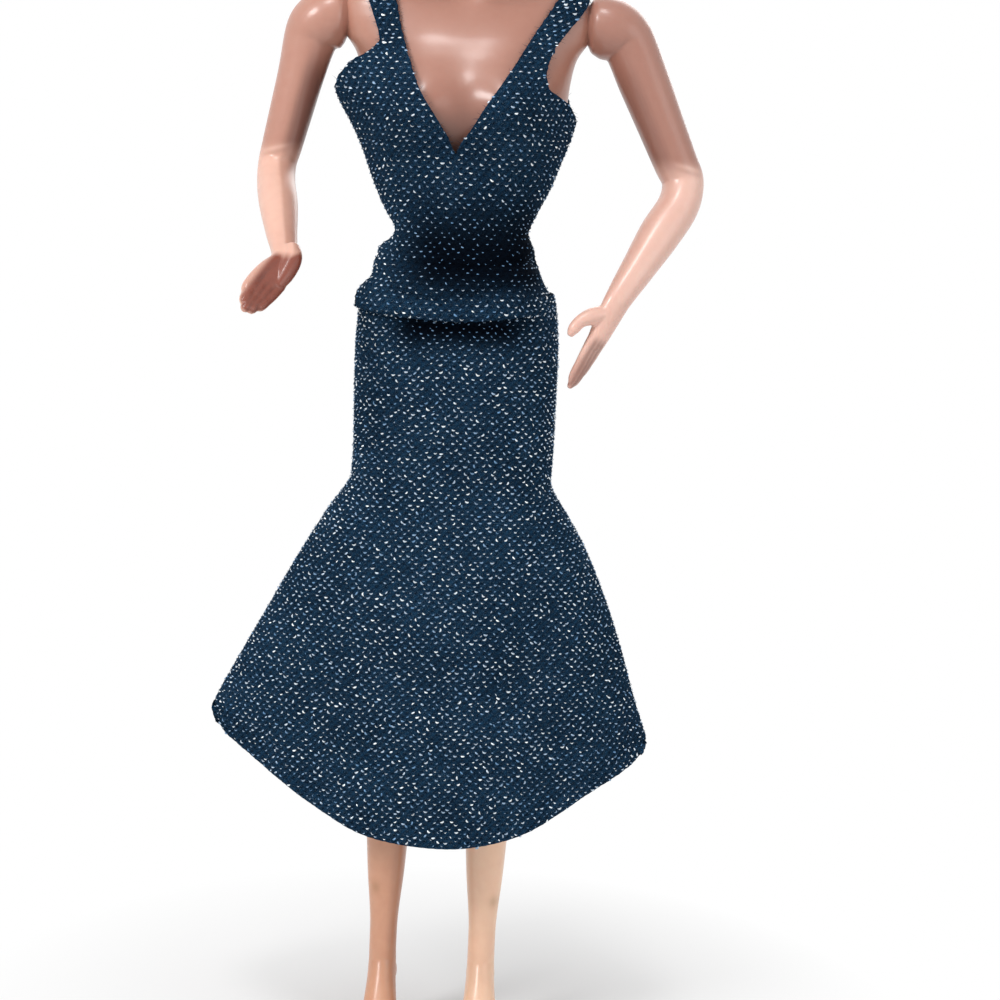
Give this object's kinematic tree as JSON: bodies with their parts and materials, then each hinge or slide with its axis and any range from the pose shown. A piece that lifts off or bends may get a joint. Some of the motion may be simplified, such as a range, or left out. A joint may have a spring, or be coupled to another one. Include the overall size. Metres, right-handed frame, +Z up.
{
  "type": "fashion doll",
  "caption": "Slim jointed fashion doll with turning head, arms and waist, bending hips and knees, in a sleeveless deep-V knit dress with a fitted hip and a flared skirt.",
  "frame": {"origin": "centre of the doll's waist, where the body turns and where a display stand's clip holds it", "axes": "+Z up the body to the head; the doll faces -Y, so its right hand is on the -X side"},
  "size_m": [0.105, 0.0832, 0.2924],
  "materials": {
    "skin": "peach-tan vinyl with a soft gloss",
    "knit": "dark teal-navy knit with silver metallic flecks in each stitch",
    "hair": "rooted nylon fibre, brushed up into a bun",
    "nylon": "natural nylon",
    "steel": "plain steel",
    "elastic": "black elastic band"
  },
  "bodies": {
    "hips": {"pelvis_front": "skin", "pelvis_back": "skin", "waist_spindle": "nylon", "hip_axle": "steel", "waist_gather": "knit", "skirt_hip": "knit"},
    "torso": {"torso_front": "skin", "torso_back": "skin", "neck_knob": "nylon", "bodice_front": "knit", "bodice_back_right": "knit", "bodice_back_left": "knit", "strap_right": "knit", "strap_left": "knit", "snap_upper": "steel", "snap_lower": "steel"},
    "head": {"head": "skin", "hair_cap": "hair", "hair_band": "elastic", "hair_bun": "hair"},
    "right_arm": {"right_arm": "skin"},
    "left_arm": {"left_arm": "skin"},
    "skirt": {"skirt_front": "knit", "skirt_back_right": "knit", "skirt_back_left": "knit"},
    "right_thigh": {"right_thigh": "skin", "right_upper_link": "nylon", "right_knee_pin": "steel"},
    "left_thigh": {"left_thigh": "skin", "left_upper_link": "nylon", "left_knee_pin": "steel"},
    "right_shin": {"right_shin": "skin", "right_lower_link": "nylon"},
    "left_shin": {"left_shin": "skin", "left_lower_link": "nylon"}
  },
  "joints": [
    {"name": "waist_twist", "type": "hinge", "parent": "hips", "child": "torso", "pos_m": [0, 0, 0], "axis": [0, 0, 1], "range_deg": [-45, 45]},
    {"name": "head_turn", "type": "hinge", "parent": "torso", "child": "head", "pos_m": [0, 0, 0.0735], "axis": [0, 0, 1], "continuous": true},
    {"name": "right_shoulder", "type": "hinge", "parent": "torso", "child": "right_arm", "pos_m": [-0.0273, 0, 0.0455], "axis": [-1, 0, 0], "continuous": true},
    {"name": "left_shoulder", "type": "hinge", "parent": "torso", "child": "left_arm", "pos_m": [0.0273, 0, 0.0455], "axis": [-1, 0, 0], "continuous": true},
    {"name": "hips_sit", "type": "hinge", "parent": "hips", "child": "skirt", "pos_m": [0, 0, -0.035], "axis": [-1, 0, 0], "range_deg": [0, 60], "deforming": ["skirt_hip"]},
    {"name": "right_leg_step", "type": "hinge", "parent": "skirt", "child": "right_thigh", "pos_m": [-0.0114, 0, -0.035], "axis": [-1, 0, 0], "range_deg": [-4, 4]},
    {"name": "left_leg_step", "type": "hinge", "parent": "skirt", "child": "left_thigh", "pos_m": [0.0114, 0, -0.035], "axis": [-1, 0, 0], "range_deg": [-4, 4]},
    {"name": "right_knee_bend", "type": "hinge", "parent": "right_thigh", "child": "right_shin", "pos_m": [-0.012, 0, -0.108], "axis": [1, 0, 0], "range_deg": [0, 30]},
    {"name": "left_knee_bend", "type": "hinge", "parent": "left_thigh", "child": "left_shin", "pos_m": [0.011, 0, -0.108], "axis": [1, 0, 0], "range_deg": [0, 30]}
  ]
}
